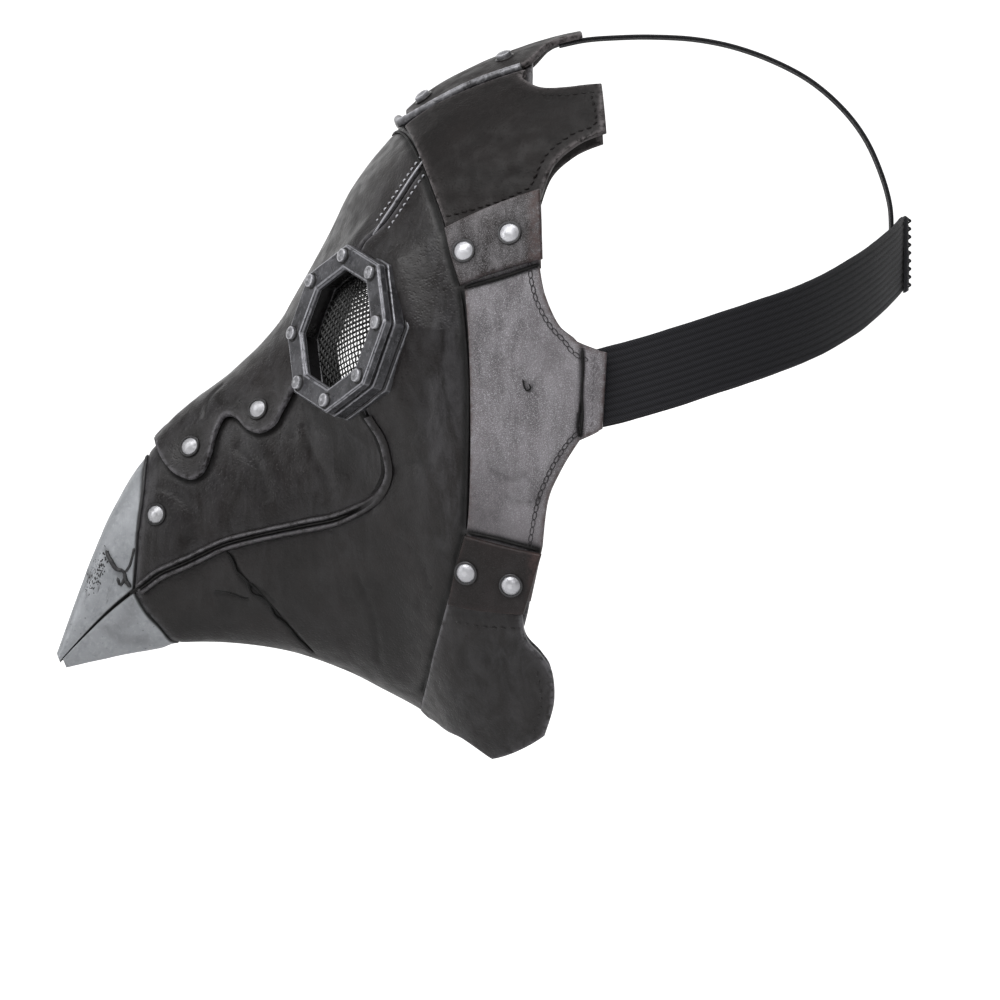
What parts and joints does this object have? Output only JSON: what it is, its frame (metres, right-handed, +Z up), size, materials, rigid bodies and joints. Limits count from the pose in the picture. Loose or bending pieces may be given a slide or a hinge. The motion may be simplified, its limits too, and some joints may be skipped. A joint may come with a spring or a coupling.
{
  "type": "beaked costume mask",
  "caption": "Full-face beaked leather costume mask with a silver beak tip, octagonal metal eye frames with wire mesh, riveted side panels and an elastic head harness",
  "frame": {"origin": "The middle of the face opening, on the left-right plane, level with the strap tabs of the side panels; it is the point of the head_seat mount", "axes": "The beak points along -X and the back of the head is +X. +Z is up. The wearer's left is -Y. The plane Y = 0 splits the mask into mirror halves."},
  "size_m": [0.2986, 0.1648, 0.2541],
  "materials": {
    "face_leather": "dark brushed leather, satin",
    "crown_leather": "dark brown-black leather, satin",
    "side_leather": "silvery dry-brushed leather",
    "keeper_leather": "dark grey leather",
    "piping": "silvered leather piping",
    "silver_tip": "worn silver paint",
    "eye_metal": "aged grey metal, worn edges",
    "wire_mesh": "black woven wire",
    "bolt_metal": "aged grey metal",
    "rivet_metal": "satin bright metal",
    "elastic": "black ribbed elastic"
  },
  "bodies": {
    "mask": {"forehead_nose_panel": "face_leather", "beak_cheek_left": "face_leather", "beak_cheek_right": "face_leather", "jaw_panel_left": "face_leather", "jaw_panel_right": "face_leather", "mouth_welt_left": "face_leather", "mouth_welt_right": "face_leather", "crown_panel": "crown_leather", "temple_panel_left": "crown_leather", "temple_panel_right": "crown_leather", "side_panel_left": "side_leather", "side_panel_right": "side_leather", "upper_keeper_left": "keeper_leather", "upper_keeper_right": "keeper_leather", "lower_keeper_left": "keeper_leather", "lower_keeper_right": "keeper_leather", "jaw_flap_left": "keeper_leather", "jaw_flap_right": "keeper_leather", "crown_piping": "piping", "beak_tip_upper": "silver_tip", "beak_tip_lower": "silver_tip", "eye_housing_left": "eye_metal", "eye_housing_right": "eye_metal", "eye_bezel_left": "eye_metal", "eye_bezel_right": "eye_metal", "eye_mesh_left": "wire_mesh", "eye_mesh_right": "wire_mesh", "eye_bolts_left": "bolt_metal", "eye_bolts_right": "bolt_metal", "crown_bolts": "bolt_metal", "keeper_rivets_left": "rivet_metal", "keeper_rivets_right": "rivet_metal", "beak_rivets_left": "rivet_metal", "beak_rivets_right": "rivet_metal", "head_band_left": "elastic", "head_band_right": "elastic", "top_strap": "elastic"},
    "harness_back": {"back_seam": "elastic"}
  },
  "joints": [
    {"name": "harness_stretch", "type": "slide", "parent": "mask", "child": "harness_back", "axis": [1, 0, 0], "range_m": [0, 0.05], "stiffness_N_per_m": 120, "deforming": ["head_band_left", "head_band_right", "top_strap"]}
  ]
}
